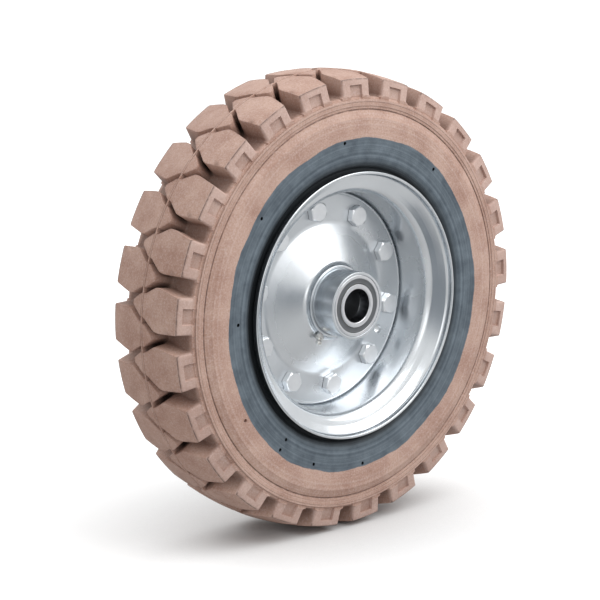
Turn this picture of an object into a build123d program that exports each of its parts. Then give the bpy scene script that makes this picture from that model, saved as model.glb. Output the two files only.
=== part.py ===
from build123d import *

import os
from math import cos, radians, tan

os.makedirs("parts", exist_ok=True)

# Bolted wheel with a solid rubber tyre, in millimetres.
# The origin is the wheel's centre. The axle runs along Y, and the front faces -Y.
# Turned profiles are drawn on the XY plane as (radius, distance from the mid-plane).

# Tyre
CROWN_RADIUS = 204.0
SHOULDER_RADIUS = 199.4
SHOULDER_Y = 40.8
FLOOR_RADIUS = 184.0
FLOOR_END_Y = 42.5
EDGE_RADIUS = 181.7
EDGE_Y = 44.8
GROOVE_RADIUS = 172.7
GROOVE_DEPTH = 0.7
RIDGE_RADIUS = 166.6
RIDGE_Y = 47.6
BOND_RADIUS = 148.6
BOND_Y = 48.3
BEAD_RADIUS = 126.0
BEAD_Y = 47.6

# Tread lugs: each row is a mirror of the other, turned by half a pitch.
LUGS_PER_ROW = 25
FRONT_LUG_ANGLE = 1.2
LUG_ROOT_RADIUS = 180.0
LUG_ROOT_Y = 44.3
LUG_DRAFT = 1.6
LUG_PLAN = [(-48.0, 16.2), (-24.0, 17.6), (-18.5, 17.0), (-5.0, 9.9), (1.5, 9.9), (12.7, 1.4)]
LUG_RECESS_HALF_WIDTH = 7.6
LUG_RECESS_TOP = 195.0
LUG_RECESS_FLOOR_Y = 38.0
WEB_RADIUS = 203.0
WEB_HALF_WIDTH = 1.5

# Pressed rim halves
RIM_SHEET = 2.5
RIM_HOLE_RADIUS = 70.0
SEAT_RADIUS = 97.55
SEAT_TAPER = 4.0
FLANGE_FOOT_Y = 36.87
LIP_RADIUS = 119.0
LIP_Y = 51.6
FLANGE_SLOPE = 25.9
RIM_BENDS = [3.25, 4.0, 6.5]

# Hub discs
DISC_SHEET = 2.5
DISC_RADIUS = 94.0
CONE_FOOT_RADIUS = 68.0
CONE_TOP_Y = 18.6
COLLAR_END_Y = 25.0
DISC_BENDS = [12.0, 7.0]

# Rim bolts, M10
BOLT_COUNT = 10
BOLT_CIRCLE_RADIUS = 80.0
BOLT_FIRST_ANGLE = -11.4
BOLT_RADIUS = 5.0
BOLT_HOLE_RADIUS = 5.25
BOLT_LENGTH = 20.0
HEX_ACROSS_FLATS = 17.0
BOLT_HEAD_HEIGHT = 6.4
NUT_HEIGHT = 8.0
PIN_HOLE_RADIUS = 4.0
PIN_HOLE_CIRCLE_RADIUS = 78.5
PIN_HOLE_ANGLE = -29.4

# Hub tube and spacer
HUB_HALF_LENGTH = 50.0
HUB_RADIUS = 30.0
HUB_BORE_RADIUS = 25.0
SPACER_RADIUS = 18.5
SPACER_BORE_RADIUS = 15.5

# Ball bearings, 30 x 55 x 13
BEARING_BORE_RADIUS = 15.0
BEARING_RADIUS = 27.5
BEARING_WIDTH = 13.0
BEARING_CHAMFER = 0.7
INNER_LAND_RADIUS = 19.3
OUTER_LAND_RADIUS = 23.2
BALL_RADIUS = 3.572
BALL_COUNT = 11
BALL_CIRCLE_RADIUS = 21.25
BALL_PLAY = 0.09
CAGE_RADII = (20.2, 22.3)
CAGE_WIDTH = 8.6
CAGE_PLAY = 0.15
SEAL_RADII = (19.6, 24.3)
SEAL_THICKNESS = 0.8
SEAL_RECESS = 0.4

# Grease nipple, M6
NIPPLE_ANGLE = -123.0
NIPPLE_TILT = 20.0
NIPPLE_FOOT_RADIUS = 32.85
NIPPLE_FOOT_Y = 21.35
NIPPLE_STEM_RADIUS = 3.0
NIPPLE_STEM_DEPTH = 6.2
NIPPLE_HEX_FLATS = 7.0
NIPPLE_HEX_START = 1.7
NIPPLE_HEX_END = 4.6
NIPPLE_NECK = (5.8, 1.9)
NIPPLE_BALL_CENTRE = 8.2
NIPPLE_BALL_RADIUS = 2.9
NIPPLE_END = 10.6

LUG_PITCH = 360.0 / LUGS_PER_ROW
BEARING_CENTRE_Y = HUB_HALF_LENGTH - BEARING_WIDTH / 2
STACK_HALF = RIM_SHEET + DISC_SHEET


def outline(*points):
    """Return a face from its corner points."""
    return make_face(Polyline(*points, close=True))


def turned(profile):
    """Turn a (radius, y) profile once round the axle."""
    return revolve(profile, axis=Axis.Y)


def at_angle(shape, angle):
    """Turn a shape about the axle; 0 is towards +X and 90 towards +Z."""
    return Rot(0, -angle, 0) * shape


def ring_of(shape, count, first=0.0):
    """Return copies of a shape spaced evenly round the axle."""
    return [at_angle(shape, first + 360.0 * i / count) for i in range(count)]


def tube(outer, inner, y_low, y_high):
    """Return a plain ring between two distances along the axle."""
    return turned(outline((inner, y_low), (outer, y_low), (outer, y_high), (inner, y_high)))


def rod(radius, length, centre_radius, y=0.0):
    """Return a cylinder along Y whose middle is at (centre_radius, y)."""
    return Pos(centre_radius, y, 0) * Rot(90, 0, 0) * Cylinder(radius, length)


def to_rear(shape):
    """Return the same shape on the other side of the mid-plane."""
    return mirror(shape, about=Plane.XZ)


def flange_y(radius):
    """Return the flange mid-line's distance from the mid-plane at a radius."""
    return FLANGE_FOOT_Y + (radius - seat_radius(FLANGE_FOOT_Y)) * tan(radians(FLANGE_SLOPE))


def seat_radius(y):
    """Return the tyre seat mid-line's radius at a distance from the mid-plane."""
    return SEAT_RADIUS + (y - RIM_SHEET / 2) * tan(radians(SEAT_TAPER))


def rim_section():
    """Return one pressed rim half's sheet section, on the +Y side."""
    lip_mid = LIP_RADIUS - RIM_SHEET / 2
    path = FilletPolyline(
        (RIM_HOLE_RADIUS, RIM_SHEET / 2),
        (SEAT_RADIUS, RIM_SHEET / 2),
        (seat_radius(FLANGE_FOOT_Y), FLANGE_FOOT_Y),
        (lip_mid, flange_y(lip_mid)),
        (lip_mid, LIP_Y),
        radius=RIM_BENDS,
    )
    return trace(path, line_width=RIM_SHEET)


def disc_section():
    """Return one hub disc's sheet section, on the +Y side."""
    collar_mid = HUB_RADIUS + DISC_SHEET / 2
    flat_y = RIM_SHEET + DISC_SHEET / 2
    path = FilletPolyline(
        (DISC_RADIUS, flat_y),
        (CONE_FOOT_RADIUS, flat_y),
        (collar_mid, CONE_TOP_Y),
        (collar_mid, COLLAR_END_Y),
        radius=DISC_BENDS,
    )
    return trace(path, line_width=DISC_SHEET)


def stack_holes():
    """Return the bolt and pin holes through the bolted stack."""
    bolts = ring_of(rod(BOLT_HOLE_RADIUS, 4 * STACK_HALF, BOLT_CIRCLE_RADIUS), BOLT_COUNT, BOLT_FIRST_ANGLE)
    pin = at_angle(rod(PIN_HOLE_RADIUS, 4 * STACK_HALF, PIN_HOLE_CIRCLE_RADIUS), PIN_HOLE_ANGLE)
    return bolts + [pin]


def make_tyre_base():
    """Return the hard rubber base, from the rim seat out to the bond."""
    bead = [
        (LIP_RADIUS + 0.5, 44.0),
        (BEAD_RADIUS, BEAD_Y),
        (BOND_RADIUS, BOND_Y),
    ]
    seat = [
        (SEAT_RADIUS + RIM_SHEET / 2, 0.0),
        (SEAT_RADIUS + RIM_SHEET / 2, 2 * RIM_BENDS[0]),
        (SEAT_RADIUS, 2 * RIM_BENDS[0]),
        (seat_radius(FLANGE_FOOT_Y), FLANGE_FOOT_Y),
        (LIP_RADIUS - RIM_SHEET, flange_y(LIP_RADIUS - RIM_SHEET)),
        (LIP_RADIUS - RIM_SHEET / 2, 44.0),
    ]
    half = outline(*seat, *bead, (BOND_RADIUS, 0.0)) - rim_section()
    half = half.faces().sort_by(SortBy.AREA)[-1]
    rear = turned(half)
    return rear + to_rear(rear)


def make_lug():
    """Return one front-row lug, centred on +X."""
    low = [(y, half + LUG_DRAFT) for y, half in LUG_PLAN]
    sections = []
    for radius, plan in ((LUG_ROOT_RADIUS, low), (CROWN_RADIUS + 2.0, LUG_PLAN)):
        other_side = [(y, -half) for y, half in reversed(plan)]
        sections.append(Plane.YZ.offset(radius) * outline(*plan, *other_side))
    block = loft(sections, ruled=True)

    crown = ThreePointArc((SHOULDER_RADIUS, -SHOULDER_Y), (CROWN_RADIUS, 0), (SHOULDER_RADIUS, SHOULDER_Y))
    sides = Polyline(
        (SHOULDER_RADIUS, SHOULDER_Y),
        (LUG_ROOT_RADIUS, LUG_ROOT_Y),
        (LUG_ROOT_RADIUS, -LUG_ROOT_Y),
        (SHOULDER_RADIUS, -SHOULDER_Y),
    )
    envelope = revolve(make_face(crown + sides), axis=Axis.Y, revolution_arc=24)

    recess = outline(
        (LUG_RECESS_TOP, -LUG_RECESS_FLOOR_Y),
        (LUG_RECESS_TOP, -HUB_HALF_LENGTH),
        (LUG_ROOT_RADIUS - 1, -HUB_HALF_LENGTH),
        (LUG_ROOT_RADIUS - 1, -LUG_RECESS_FLOOR_Y),
    )
    recess = extrude(recess, amount=LUG_RECESS_HALF_WIDTH, both=True)
    return (block & at_angle(envelope, 12)) - recess


def make_tyre_tread():
    """Return the outer tyre: a bonded ring with two staggered rows of lugs."""
    half = [
        (BOND_RADIUS, BOND_Y),
        (RIDGE_RADIUS, RIDGE_Y),
        (GROOVE_RADIUS - 0.5, EDGE_Y),
        (GROOVE_RADIUS, EDGE_Y - GROOVE_DEPTH),
        (GROOVE_RADIUS + 0.5, EDGE_Y),
        (EDGE_RADIUS, EDGE_Y),
        (FLOOR_RADIUS, FLOOR_END_Y),
    ]
    other_half = [(radius, -y) for radius, y in reversed(half)]
    ring = turned(outline(*half, *other_half))
    web = tube(WEB_RADIUS, FLOOR_RADIUS - 2, -WEB_HALF_WIDTH, WEB_HALF_WIDTH)
    lug = make_lug()
    front_row = ring_of(lug, LUGS_PER_ROW, FRONT_LUG_ANGLE)
    rear_row = ring_of(to_rear(lug), LUGS_PER_ROW, FRONT_LUG_ANGLE + LUG_PITCH / 2)
    return ring.fuse(web, *front_row, *rear_row)


def make_rim_half():
    """Return the rear rim half."""
    return turned(rim_section()) - stack_holes()


def make_hub_disc():
    """Return the rear hub disc."""
    return turned(disc_section()) - stack_holes()


def nipple_place(shape):
    """Carry a shape built along +X from the nipple's foot to its place."""
    return at_angle(Pos(NIPPLE_FOOT_RADIUS, -NIPPLE_FOOT_Y, 0) * Rot(0, 0, -NIPPLE_TILT) * shape, NIPPLE_ANGLE)


def make_nipple_hole():
    """Return the tapped hole that the nipple's stem fills."""
    return nipple_place(Pos(-6, 0, 0) * Rot(0, 90, 0) * Cylinder(NIPPLE_STEM_RADIUS, 20))


def make_grease_nipple():
    """Return the grease nipple in the front disc's neck."""
    neck_x, neck_radius = NIPPLE_NECK
    ball_start = NIPPLE_BALL_CENTRE - (NIPPLE_BALL_RADIUS**2 - neck_radius**2) ** 0.5
    ball_end_radius = (NIPPLE_BALL_RADIUS**2 - (NIPPLE_END - NIPPLE_BALL_CENTRE) ** 2) ** 0.5
    head = ThreePointArc(
        (ball_start, neck_radius), (NIPPLE_BALL_CENTRE, NIPPLE_BALL_RADIUS), (NIPPLE_END, ball_end_radius)
    )
    body = Polyline(
        (NIPPLE_END, ball_end_radius),
        (NIPPLE_END, 0),
        (-NIPPLE_STEM_DEPTH, 0),
        (-NIPPLE_STEM_DEPTH, NIPPLE_STEM_RADIUS),
        (NIPPLE_HEX_END, NIPPLE_STEM_RADIUS),
        (neck_x - 0.4, neck_radius),
        (ball_start, neck_radius),
    )
    stem = revolve(make_face(head + body), axis=Axis.X)
    hexagon = RegularPolygon(NIPPLE_HEX_FLATS / 2, 6, major_radius=False)
    collar = extrude(Plane.YZ.offset(NIPPLE_HEX_START) * hexagon, amount=NIPPLE_HEX_END - NIPPLE_HEX_START)
    return nipple_place(stem + collar)


def hex_block(height):
    """Return a hexagon block rising along +Y from y = 0, with its far corners chamfered."""
    hexagon = RegularPolygon(HEX_ACROSS_FLATS / 2, 6, major_radius=False)
    block = Rot(-90, 0, 0) * extrude(hexagon, amount=height)
    corner = HEX_ACROSS_FLATS / 2 / cos(radians(30))
    inner = HEX_ACROSS_FLATS / 2 * 0.95
    drop = (corner - inner) * tan(radians(30))
    cap = turned(outline((0, 0), (corner, 0), (corner, height - drop), (inner, height), (0, height)))
    return block & cap


def make_rim_bolts():
    """Return the ring of bolts, heads at the front."""
    head = to_rear(hex_block(BOLT_HEAD_HEIGHT))
    shank = rod(BOLT_RADIUS, BOLT_LENGTH, 0, BOLT_LENGTH / 2)
    bolt = Pos(BOLT_CIRCLE_RADIUS, -STACK_HALF, 0) * (head + shank)
    return Compound(ring_of(bolt, BOLT_COUNT, BOLT_FIRST_ANGLE))


def make_rim_nuts():
    """Return the ring of nuts on the rear disc."""
    nut = hex_block(NUT_HEIGHT) - rod(BOLT_RADIUS, 4 * NUT_HEIGHT, 0)
    nut = Pos(BOLT_CIRCLE_RADIUS, STACK_HALF, 0) * nut
    return Compound(ring_of(nut, BOLT_COUNT, BOLT_FIRST_ANGLE))


def make_hub_tube():
    """Return the hub tube, with a bearing seat at each end."""
    seat_end = HUB_HALF_LENGTH - BEARING_WIDTH
    wall = outline(
        (HUB_BORE_RADIUS, -seat_end),
        (HUB_BORE_RADIUS, seat_end),
        (BEARING_RADIUS, seat_end),
        (BEARING_RADIUS, HUB_HALF_LENGTH),
        (HUB_RADIUS, HUB_HALF_LENGTH),
        (HUB_RADIUS, -HUB_HALF_LENGTH),
        (BEARING_RADIUS, -HUB_HALF_LENGTH),
        (BEARING_RADIUS, -seat_end),
    )
    return turned(wall) - make_nipple_hole()


def race_track():
    """Return the round groove section that the balls run in."""
    return Pos(BALL_CIRCLE_RADIUS, BEARING_CENTRE_Y) * Circle(BALL_RADIUS + BALL_PLAY)


def make_outer_ring():
    """Return the rear bearing's outer ring, stepped at both ends for the seals."""
    low = HUB_HALF_LENGTH - BEARING_WIDTH
    step = SEAL_RECESS + SEAL_THICKNESS
    chamfer_radius = BEARING_RADIUS - BEARING_CHAMFER
    section = outline(
        (OUTER_LAND_RADIUS, low + step),
        (SEAL_RADII[1], low + step),
        (SEAL_RADII[1], low),
        (chamfer_radius, low),
        (BEARING_RADIUS, low + BEARING_CHAMFER),
        (BEARING_RADIUS, HUB_HALF_LENGTH - BEARING_CHAMFER),
        (chamfer_radius, HUB_HALF_LENGTH),
        (SEAL_RADII[1], HUB_HALF_LENGTH),
        (SEAL_RADII[1], HUB_HALF_LENGTH - step),
        (OUTER_LAND_RADIUS, HUB_HALF_LENGTH - step),
    )
    return turned(section - race_track())


def make_inner_ring():
    """Return the rear bearing's inner ring, with its bore edges chamfered."""
    low = HUB_HALF_LENGTH - BEARING_WIDTH
    chamfer_radius = BEARING_BORE_RADIUS + BEARING_CHAMFER
    section = outline(
        (chamfer_radius, low),
        (INNER_LAND_RADIUS, low),
        (INNER_LAND_RADIUS, HUB_HALF_LENGTH),
        (chamfer_radius, HUB_HALF_LENGTH),
        (BEARING_BORE_RADIUS, HUB_HALF_LENGTH - BEARING_CHAMFER),
        (BEARING_BORE_RADIUS, low + BEARING_CHAMFER),
    )
    return turned(section - race_track())


def make_balls():
    """Return the rear bearing's balls."""
    ball = Pos(BALL_CIRCLE_RADIUS, BEARING_CENTRE_Y, 0) * Sphere(BALL_RADIUS)
    return Compound(ring_of(ball, BALL_COUNT))


def make_cage():
    """Return the rear bearing's ball cage."""
    half = CAGE_WIDTH / 2
    band = tube(CAGE_RADII[1], CAGE_RADII[0], BEARING_CENTRE_Y - half, BEARING_CENTRE_Y + half)
    pocket = Rot(0, 90, 0) * Cylinder(BALL_RADIUS + CAGE_PLAY, 2 * BALL_RADIUS)
    pocket = Pos(BALL_CIRCLE_RADIUS, BEARING_CENTRE_Y, 0) * pocket
    return band - ring_of(pocket, BALL_COUNT)


def make_seal(face_y, inward):
    """Return a seal set back from a bearing face; inward is the sign of the way in."""
    near = face_y + inward * SEAL_RECESS
    far = near + inward * SEAL_THICKNESS
    return tube(SEAL_RADII[1], SEAL_RADII[0], near, far)


def make_parts():
    """Return every node's shape by its name."""
    rim_half = make_rim_half()
    hub_disc = make_hub_disc()
    parts = {
        "tyre_tread": make_tyre_tread(),
        "tyre_base": make_tyre_base(),
        "front_rim_half": to_rear(rim_half),
        "rear_rim_half": rim_half,
        "front_hub_disc": to_rear(hub_disc) - make_nipple_hole(),
        "rear_hub_disc": hub_disc,
        "hub_tube": make_hub_tube(),
        "rim_bolts": make_rim_bolts(),
        "rim_nuts": make_rim_nuts(),
        "grease_nipple": make_grease_nipple(),
        "spacer_tube": tube(
            SPACER_RADIUS, SPACER_BORE_RADIUS, BEARING_WIDTH - HUB_HALF_LENGTH, HUB_HALF_LENGTH - BEARING_WIDTH
        ),
    }
    bearing = {
        "outer_ring": make_outer_ring(),
        "inner_ring": make_inner_ring(),
        "balls": make_balls(),
        "cage": make_cage(),
        "outer_seal": make_seal(HUB_HALF_LENGTH, -1),
        "inner_seal": make_seal(HUB_HALF_LENGTH - BEARING_WIDTH, 1),
    }
    for name, shape in bearing.items():
        parts["rear_" + name] = shape
        parts["front_" + name] = to_rear(shape)
    return parts


for node, solid in make_parts().items():
    export_step(solid, "parts/" + node + ".step")
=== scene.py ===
"""Bolted wheel with a solid rubber tyre: the visual model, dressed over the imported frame.

Everything rides in the part's own frame, in metres: the origin is the wheel's centre, the axle runs along Y,
the photographed face looks to -Y and +Z is up. The sizes in the classes below are millimetres.
"""

from __future__ import annotations

import logging
import math
from dataclasses import dataclass
from enum import Enum
from typing import Iterable, Mapping, Sequence

import bmesh
import bpy
from mathutils import Matrix, Vector

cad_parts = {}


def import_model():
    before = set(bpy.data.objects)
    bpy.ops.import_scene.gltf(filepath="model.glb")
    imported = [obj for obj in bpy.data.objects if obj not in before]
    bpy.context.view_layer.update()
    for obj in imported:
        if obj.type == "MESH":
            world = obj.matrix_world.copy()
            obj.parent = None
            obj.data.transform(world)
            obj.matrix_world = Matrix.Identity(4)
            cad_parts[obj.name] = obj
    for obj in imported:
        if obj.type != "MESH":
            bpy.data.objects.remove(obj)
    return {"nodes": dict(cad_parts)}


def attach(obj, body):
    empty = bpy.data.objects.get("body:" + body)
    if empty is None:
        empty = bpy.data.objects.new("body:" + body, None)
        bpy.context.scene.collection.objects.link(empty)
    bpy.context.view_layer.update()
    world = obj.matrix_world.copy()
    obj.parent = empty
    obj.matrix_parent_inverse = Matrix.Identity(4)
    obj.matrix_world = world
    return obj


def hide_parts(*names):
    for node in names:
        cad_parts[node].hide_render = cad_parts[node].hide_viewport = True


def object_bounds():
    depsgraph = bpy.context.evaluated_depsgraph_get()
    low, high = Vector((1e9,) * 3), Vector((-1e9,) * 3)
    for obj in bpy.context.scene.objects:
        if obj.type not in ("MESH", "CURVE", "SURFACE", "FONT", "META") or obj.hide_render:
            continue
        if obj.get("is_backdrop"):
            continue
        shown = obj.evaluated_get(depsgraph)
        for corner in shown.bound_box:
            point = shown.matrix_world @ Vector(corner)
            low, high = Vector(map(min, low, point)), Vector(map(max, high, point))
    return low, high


LOG = logging.getLogger("wheel")

MM = 0.001
# A hexagon's chamfer, as shares of half its size across flats: its depth and its top circle's radius.
CHAMFER_DROP = 0.1
CHAMFER_TOP = 0.94
WHEEL = "wheel"
AXLE_SET = "axle_set"

Corner = tuple[float, float, float]
Colour = tuple[float, float, float, float]
Mesh = bmesh.types.BMesh
Material = bpy.types.Material
Tree = bpy.types.NodeTree
Socket = bpy.types.NodeSocket


class Side(Enum):
    """The two faces of the wheel, with the sign of Y that each looks along."""

    FRONT = -1
    REAR = 1

    @property
    def label(self) -> str:
        """The word that this side's node names start with."""
        return self.name.lower()


# Small tools


def srgb(code: str) -> Colour:
    """Turn an sRGB hex colour into the linear values that a shader socket holds.

    Args:
        code: six hex digits, with or without a leading hash.

    Returns:
        Linear red, green and blue, and an alpha of 1.
    """
    text = code.lstrip("#")
    channels = [int(text[start : start + 2], 16) / 255 for start in (0, 2, 4)]
    linear = [c / 12.92 if c <= 0.04045 else ((c + 0.055) / 1.055) ** 2.4 for c in channels]
    return (linear[0], linear[1], linear[2], 1.0)


def add_node(
    tree: Tree,
    kind: str,
    inputs: Mapping[str | int, object] | None = None,
    **settings: object,
) -> bpy.types.Node:
    """Add a shader node with its settings, input values and links.

    Args:
        tree: the node tree that takes the node.
        kind: the node's type name.
        inputs: input name or number, to a value or to the socket that feeds it.
        settings: the node's own properties.

    Returns:
        The new node.
    """
    node = tree.nodes.new(kind)
    for name, value in settings.items():
        setattr(node, name, value)
    for key, value in (inputs or {}).items():
        socket = node.inputs[key]
        if isinstance(value, Socket):
            tree.links.new(value, socket)
        else:
            socket.default_value = value
    return node


def blank_material(name: str) -> Material:
    """Start a material.

    Args:
        name: the material's name.

    Returns:
        A new material with an empty node tree.
    """
    material = bpy.data.materials.new(name)
    material.use_nodes = True
    material.node_tree.nodes.clear()
    return material


def polar(radius: float, angle: float, y: float) -> Vector:
    """Return a point in metres from a radius, an angle in degrees about the axle and a Y, in mm."""
    turn = math.radians(angle)
    return Vector((radius * math.cos(turn), y, radius * math.sin(turn))) * MM


def turn_about_axle(bm: Mesh, angle: float) -> None:
    """Turn a mesh so that what lay along +X lies at the given angle about the axle, in degrees."""
    turn = Matrix.Rotation(math.radians(-angle), 3, "Y")
    bmesh.ops.rotate(bm, cent=(0, 0, 0), matrix=turn, verts=bm.verts)


def repeat_about_axle(bm: Mesh, count: int) -> None:
    """Fill a full turn about the axle with evenly spaced copies of the whole mesh."""
    bmesh.ops.spin(
        bm,
        geom=bm.verts[:] + bm.edges[:] + bm.faces[:],
        cent=(0, 0, 0),
        axis=(0, 1, 0),
        dvec=(0, 0, 0),
        angle=2 * math.pi * (count - 1) / count,
        steps=count - 1,
        use_merge=False,
        use_duplicate=True,
    )


def mirror_to_other_side(bm: Mesh) -> None:
    """Mirror a whole mesh in the wheel's mid-plane and keep its faces outward."""
    bmesh.ops.scale(bm, vec=(1, -1, 1), verts=bm.verts)
    bmesh.ops.reverse_faces(bm, faces=bm.faces)


def turn_end_for_end(bm: Mesh) -> None:
    """Turn a whole mesh half round the radial X axis, as the second of two equal mould halves lies."""
    bmesh.ops.rotate(bm, cent=(0, 0, 0), matrix=Matrix.Rotation(math.pi, 3, "X"), verts=bm.verts)


def join(parts: Iterable[Mesh]) -> Mesh:
    """Merge several meshes into one.

    Args:
        parts: the meshes, freed here.

    Returns:
        The new mesh.
    """
    whole = bmesh.new()
    for part in parts:
        scratch = bpy.data.meshes.new("scratch")
        part.to_mesh(scratch)
        part.free()
        whole.from_mesh(scratch)
        bpy.data.meshes.remove(scratch)
    return whole


def round_corners(bm: Mesh, corners: Sequence[tuple[bmesh.types.BMVert, float]], segments: int) -> None:
    """Round the corners of one flat face.

    Args:
        bm: the mesh that holds the face.
        corners: each vertex with the radius that it is rounded to.
        segments: the number of steps in each rounding.
    """
    for vert, radius in corners:
        if radius <= 0:
            continue
        before, after = [edge.other_vert(vert).co - vert.co for edge in vert.link_edges]
        turn = math.pi - before.angle(after)
        bmesh.ops.bevel(
            bm,
            geom=[vert],
            offset=radius * math.tan(turn / 2),
            offset_type="OFFSET",
            segments=segments,
            profile=0.5,
            affect="VERTICES",
            material=-1,
        )


def turned(section: Sequence[Corner], steps: int = 192, segments: int = 6) -> Mesh:
    """Turn a closed section once round the axle.

    Args:
        section: the section's corners as (radius, y, rounding), in mm.
        steps: the number of steps round the axle.
        segments: the number of steps in each rounding.

    Returns:
        A closed mesh about Y in metres, with its faces outward.
    """
    bm = bmesh.new()
    verts = [bm.verts.new((radius * MM, y * MM, 0)) for radius, y, _ in section]
    bm.faces.new(verts)
    round_corners(bm, [(vert, corner[2] * MM) for vert, corner in zip(verts, section)], segments)
    bmesh.ops.delete(bm, geom=bm.faces[:], context="FACES_ONLY")
    bmesh.ops.spin(
        bm,
        geom=bm.verts[:] + bm.edges[:],
        cent=(0, 0, 0),
        axis=(0, 1, 0),
        dvec=(0, 0, 0),
        angle=2 * math.pi,
        steps=steps,
        use_merge=True,
        use_duplicate=False,
    )
    bmesh.ops.remove_doubles(bm, verts=bm.verts, dist=1e-7)
    bmesh.ops.recalc_face_normals(bm, faces=bm.faces)
    return bm


def mirrored_section(half: Sequence[Corner]) -> list[Corner]:
    """Close the rear half of a section with its mirror on the front side."""
    return list(half) + [(radius, -y, bend) for radius, y, bend in reversed(half) if y > 0]


def sheet_section(path: Sequence[Corner], thickness: float, edge: float) -> list[Corner]:
    """Give a bent sheet its thickness, with each bend's two faces about one centre.

    Args:
        path: the sheet's mid-line corners as (radius, y, bend radius), in mm.
        thickness: the sheet's thickness.
        edge: the rounding of its two cut edges.

    Returns:
        The closed section, for turned().
    """
    points = [Vector(corner[:2]) for corner in path]
    ways = [(after - before).normalized() for before, after in zip(points, points[1:])]
    left: list[Corner] = []
    right: list[Corner] = []
    for index, point in enumerate(points):
        first = ways[max(index - 1, 0)]
        second = ways[min(index, len(ways) - 1)]
        normals = [Vector((-way.y, way.x)) for way in (first, second)]
        offset = (normals[0] + normals[1]) / (1 + normals[0].dot(normals[1])) * thickness / 2
        at_end = index in (0, len(points) - 1)
        swing = math.copysign(thickness / 2, first.x * second.y - first.y * second.x)
        bend = path[index][2]
        left.append((point.x + offset.x, point.y + offset.y, edge if at_end else bend - swing))
        right.append((point.x - offset.x, point.y - offset.y, edge if at_end else bend + swing))
    return left + right[::-1]


@dataclass(frozen=True)
class Ring:
    """One ring of a turned or hexagonal small part: its radius, its height and whether it is a hexagon."""

    radius: float
    height: float
    hexagonal: bool = False

    def reach(self, angle: float) -> float:
        """Measure the ring, whose radius is to its flats where it is a hexagon.

        Args:
            angle: the direction, in radians.

        Returns:
            How far out the ring is there.
        """
        if not self.hexagonal:
            return self.radius
        sixth = math.pi / 3
        return self.radius / math.cos((angle - math.pi / 2) % sixth - sixth / 2)


def stacked_rings(rings: Sequence[Ring], segments: int = 48, tube: bool = False) -> Mesh:
    """Skin a stack of rings into a small turned part about Z.

    A hexagonal ring that follows a round one falls away at its corners by 30 degrees, as a chamfer does.

    Args:
        rings: the rings from one end to the other, in mm.
        segments: the number of steps round each ring, a multiple of six.
        tube: whether the last ring joins the first, in place of two end faces.

    Returns:
        A closed mesh in mm, with its faces outward.
    """
    bm = bmesh.new()
    bmesh.ops.create_circle(bm, cap_ends=False, segments=segments, radius=1.0)
    edges = bm.edges[:]
    verts = bm.verts[:]
    first_edges = edges
    chain = list(rings) + ([rings[0]] if tube else [])
    for index, ring in enumerate(chain):
        if index:
            grown = bmesh.ops.extrude_edge_only(bm, edges=edges)["geom"]
            verts = [item for item in grown if isinstance(item, bmesh.types.BMVert)]
            edges = [item for item in grown if isinstance(item, bmesh.types.BMEdge)]
            edges = [edge for edge in edges if all(vert in verts for vert in edge.verts)]
        for vert in verts:
            angle = math.atan2(vert.co.y, vert.co.x)
            reach = ring.reach(angle)
            vert.co = Vector((reach * math.cos(angle), reach * math.sin(angle), ring.height))
    if tube:
        bmesh.ops.remove_doubles(bm, verts=bm.verts, dist=1e-5)
    else:
        bmesh.ops.edgeloop_fill(bm, edges=first_edges)
        bmesh.ops.edgeloop_fill(bm, edges=edges)
    bmesh.ops.recalc_face_normals(bm, faces=bm.faces)
    return bm


def hexagon_with_chamfer(flats: float, low: float, high: float) -> list[Ring]:
    """Return the rings of a hexagon whose corners are chamfered at its upper end.

    Args:
        flats: the size across flats.
        low: the height of its lower end.
        high: the height of its upper end.

    Returns:
        Rings from the lower end to the upper.
    """
    inner = flats / 2
    shoulder = high - inner * CHAMFER_DROP
    return [Ring(inner, low, True), Ring(inner, shoulder, True), Ring(inner * CHAMFER_TOP, high)]


def stand_at(bm: Mesh, foot: Vector, way: Vector, turn: float = 0.0) -> None:
    """Move a small part drawn about Z in mm to its place.

    Args:
        bm: the part, which is scaled to metres.
        foot: where its origin goes, in metres.
        way: the direction that its +Z takes.
        turn: how far it is turned about its own axis first, in degrees.
    """
    spin = Matrix.Rotation(math.radians(turn), 4, "Z")
    lean = Vector((0, 0, 1)).rotation_difference(way).to_matrix().to_4x4()
    place = Matrix.Translation(foot) @ lean @ spin @ Matrix.Scale(MM, 4)
    bmesh.ops.transform(bm, matrix=place, verts=bm.verts)


def drill(radius: float, start: Vector, end: Vector, segments: int = 32) -> Mesh:
    """Make a drill.

    Args:
        radius: its radius in mm.
        start: one end, in metres.
        end: the other end.
        segments: the number of steps round it.

    Returns:
        A closed cylinder in metres.
    """
    way = end - start
    turn = Vector((0, 0, 1)).rotation_difference(way)
    place = Matrix.Translation((start + end) / 2) @ turn.to_matrix().to_4x4()
    bm = bmesh.new()
    bmesh.ops.create_cone(
        bm,
        cap_ends=True,
        cap_tris=False,
        segments=segments,
        radius1=radius * MM,
        radius2=radius * MM,
        depth=way.length,
        matrix=place,
    )
    return bm


def make_object(name: str, bm: Mesh) -> bpy.types.Object:
    """Turn a mesh into a scene object at the origin.

    Args:
        name: the object's name.
        bm: its mesh, freed here.

    Returns:
        The object.
    """
    mesh = bpy.data.meshes.new(name)
    bm.to_mesh(mesh)
    bm.free()
    thing = bpy.data.objects.new(name, mesh)
    bpy.context.scene.collection.objects.link(thing)
    return thing


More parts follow.
